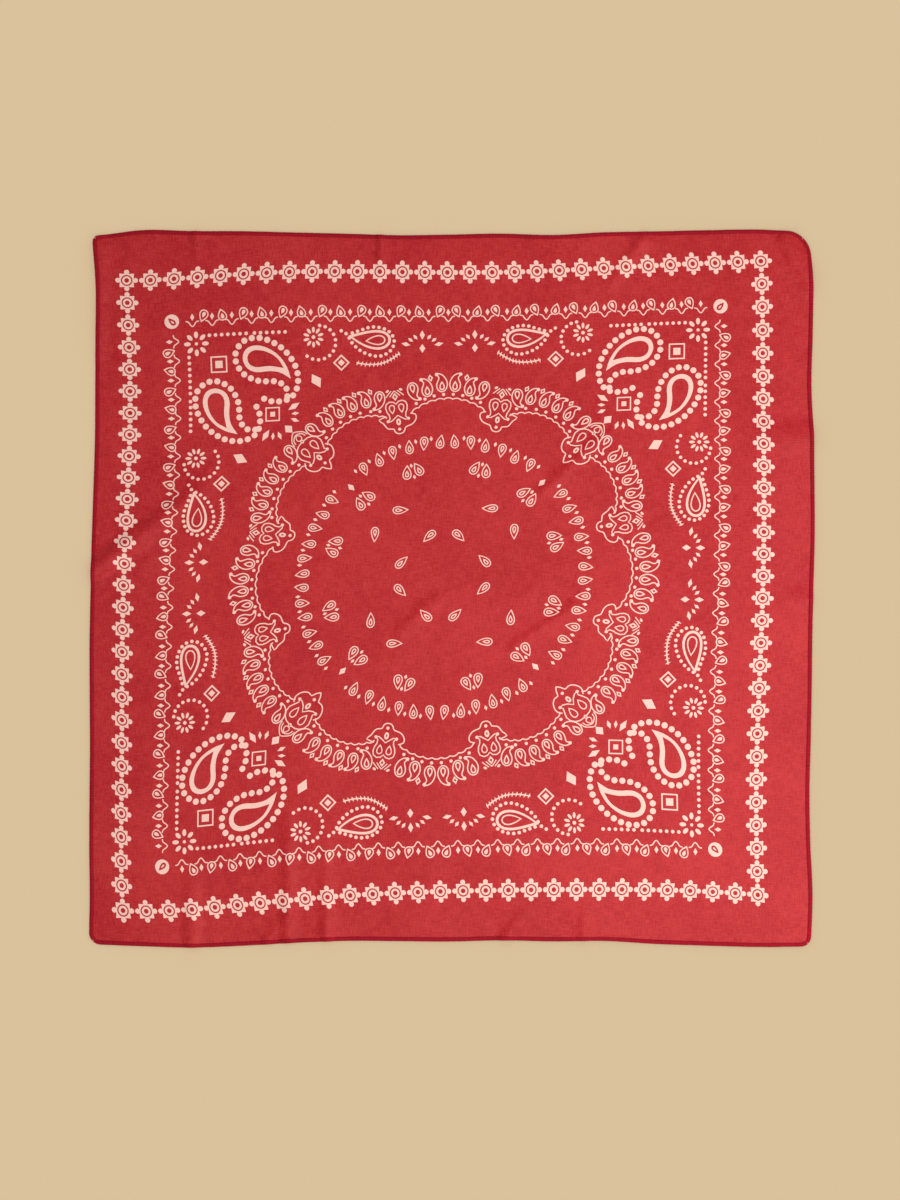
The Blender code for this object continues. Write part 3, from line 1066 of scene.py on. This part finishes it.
def printedCotton(weave):
    made, tree, surface = newMaterial("printedCotton")
    woven = put(tree, "ShaderNodeGroup", {"node_tree": weave})
    woven.inputs["Threads per Metre"].default_value = cotton["threadsPerMetre"]
    woven.inputs["Thick Places"].default_value = cotton["thickPlaces"]
    ink = put(tree, "ShaderNodeAttribute", {"attribute_name": "ink"}).outputs["Fac"]
    # a random mottle between the deep red and the lighter red with its painted sheen
    mottleOfDyeAndSheen = maths(tree, "MULTIPLY_ADD", woven.outputs["Shade"], cotton["mottle"], 0.5)
    deep, paleWithPaintedSheen = (*cotton["deep"], 1), (*cotton["paleWithPaintedSheen"], 1)
    ground = put(tree, "ShaderNodeMix", {"data_type": "RGBA"}, i0=mottleOfDyeAndSheen, i6=deep, i7=paleWithPaintedSheen)
    paste = shaded(tree, cotton["ink"], maths(tree, "MULTIPLY", woven.outputs["Shade"], 0.35))
    colour = put(tree, "ShaderNodeMix", {"data_type": "RGBA"}, i0=ink, i6=ground.outputs[2], i7=paste)
    tree.links.new(colour.outputs[2], surface.inputs["Base Color"])
    bumps = []
    for output, strength, depth in (("Crumple", 1.0, cotton["crumple"]), ("Height", 0.5, cotton["weave"])):
        height = woven.outputs[output]
        bumps.append(put(tree, "ShaderNodeBump", None, Height=height, Strength=strength, Distance=depth))
    crumple, bump = bumps
    tree.links.new(crumple.outputs[0], bump.inputs["Normal"])
    tree.links.new(bump.outputs[0], surface.inputs["Normal"])
    rough = maths(tree, "MULTIPLY_ADD", woven.outputs["Shade"], 0.2, cotton["roughness"])
    tree.links.new(rough, surface.inputs["Roughness"])
    surface.inputs["Specular IOR Level"].default_value = cotton["specular"]
    surface.inputs["Sheen Weight"].default_value = cotton["sheen"]
    surface.inputs["Sheen Roughness"].default_value = 0.5
    return made


hemFinish = {
    "roll": (0.37, 0.006, 0.018),
    "thread": (0.29, 0.004, 0.014),
    "thickPlaces": 0.5,
    "weave": 0.0001,
    "roughness": 0.75,
    "specular": 0.12,
}


def hemCotton(weave, name, colour, bumpStrength):
    made, tree, surface = newMaterial(name)
    woven = put(tree, "ShaderNodeGroup", {"node_tree": weave})
    woven.inputs["Threads per Metre"].default_value = cotton["threadsPerMetre"]
    woven.inputs["Thick Places"].default_value = hemFinish["thickPlaces"]
    tree.links.new(shaded(tree, colour, woven.outputs["Shade"]), surface.inputs["Base Color"])
    height, depth = woven.outputs["Height"], hemFinish["weave"]
    bump = put(tree, "ShaderNodeBump", None, Height=height, Strength=bumpStrength, Distance=depth)
    tree.links.new(bump.outputs[0], surface.inputs["Normal"])
    surface.inputs["Roughness"].default_value = hemFinish["roughness"]
    surface.inputs["Specular IOR Level"].default_value = hemFinish["specular"]
    return made


print("weaving", flush=True)
weave = weaveGroup()
panel = makePanel(printedCotton(weave))
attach(panel, "root")
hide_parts("cloth_panel")

print("hemming", flush=True)
rollCotton = hemCotton(weave, "hemCotton", hemFinish["roll"], 0.5)
thread = hemCotton(weave, "crimsonThread", hemFinish["thread"], 0.8)
hems = []
for side in sides:
    roll = makeRoll(side, rollCotton)
    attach(roll, "root")
    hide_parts("hem_" + side)
    stitches = makeStitches(side, thread)
    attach(stitches, "root")
    hems += [roll, stitches]


studio = {
    "floor": (0.701, 0.539, 0.333),
    "floorSize": 24,
    "sky": 0.5,
    "overhead": 1.57,  # a soft sun for the floor alone, which takes no shadow
    "lamp": 11.6,  # a soft lamp for the cloth alone, over its lower right
    "lampAt": (0.53, -0.26, 1.02),
    "lampSize": 0.5,
}


def makeStudio(pieces):
    bpy.ops.mesh.primitive_plane_add(size=studio["floorSize"])
    floor = bpy.context.object
    floor.name = "floor"
    made, tree, surface = newMaterial("floorPaper")
    place = put(tree, "ShaderNodeTexCoord").outputs["Object"]
    grain = put(tree, "ShaderNodeTexNoise", None, Vector=place, Scale=900.0, Detail=2.0)
    shade = maths(tree, "MULTIPLY", maths(tree, "SUBTRACT", grain.outputs[0], 0.5), 0.02)
    tree.links.new(shaded(tree, studio["floor"], shade), surface.inputs["Base Color"])
    surface.inputs["Roughness"].default_value = 0.9
    surface.inputs["Specular IOR Level"].default_value = 0.0
    floor.data.materials.append(made)

    world = bpy.data.worlds.new("softSky")
    world.use_nodes = True
    world.node_tree.nodes["Background"].inputs["Color"].default_value = (1.0, 1.0, 1.0, 1.0)
    world.node_tree.nodes["Background"].inputs["Strength"].default_value = studio["sky"]
    bpy.context.scene.world = world

    sun = bpy.data.lights.new("overhead", "SUN")
    sun.energy, sun.use_shadow = studio["overhead"], False
    lamp = bpy.data.lights.new("lamp", "AREA")
    lamp.shape, lamp.size, lamp.energy = "DISK", studio["lampSize"], studio["lamp"]
    for light, place, lit in ((sun, (0, 0, 2), [floor]), (lamp, studio["lampAt"], pieces)):
        lightObject = bpy.data.objects.new(light.name, light)
        lightObject.location = place
        lightObject.rotation_euler = Vector(place).to_track_quat("Z", "Y").to_euler()
        bpy.context.scene.collection.objects.link(lightObject)
        receivers = bpy.data.collections.new("litBy_" + light.name)
        for piece in lit:
            receivers.objects.link(piece)
        lightObject.light_linking.receiver_collection = receivers


view = {"middle": (-0.00146, -0.00884), "tall": 0.9225, "lens": 100.0, "sensor": 36.0}


def makeCamera():
    camera = bpy.data.cameras.new("camera")
    camera.lens, camera.sensor_width = view["lens"], view["sensor"]
    made = bpy.data.objects.new("camera", camera)
    made.location = (*view["middle"], view["tall"] * view["lens"] / view["sensor"])
    bpy.context.scene.collection.objects.link(made)
    bpy.context.scene.camera = made


print("setting up the studio", flush=True)
makeStudio([panel] + hems)
makeCamera()
bpy.context.scene.view_settings.view_transform = "Standard"
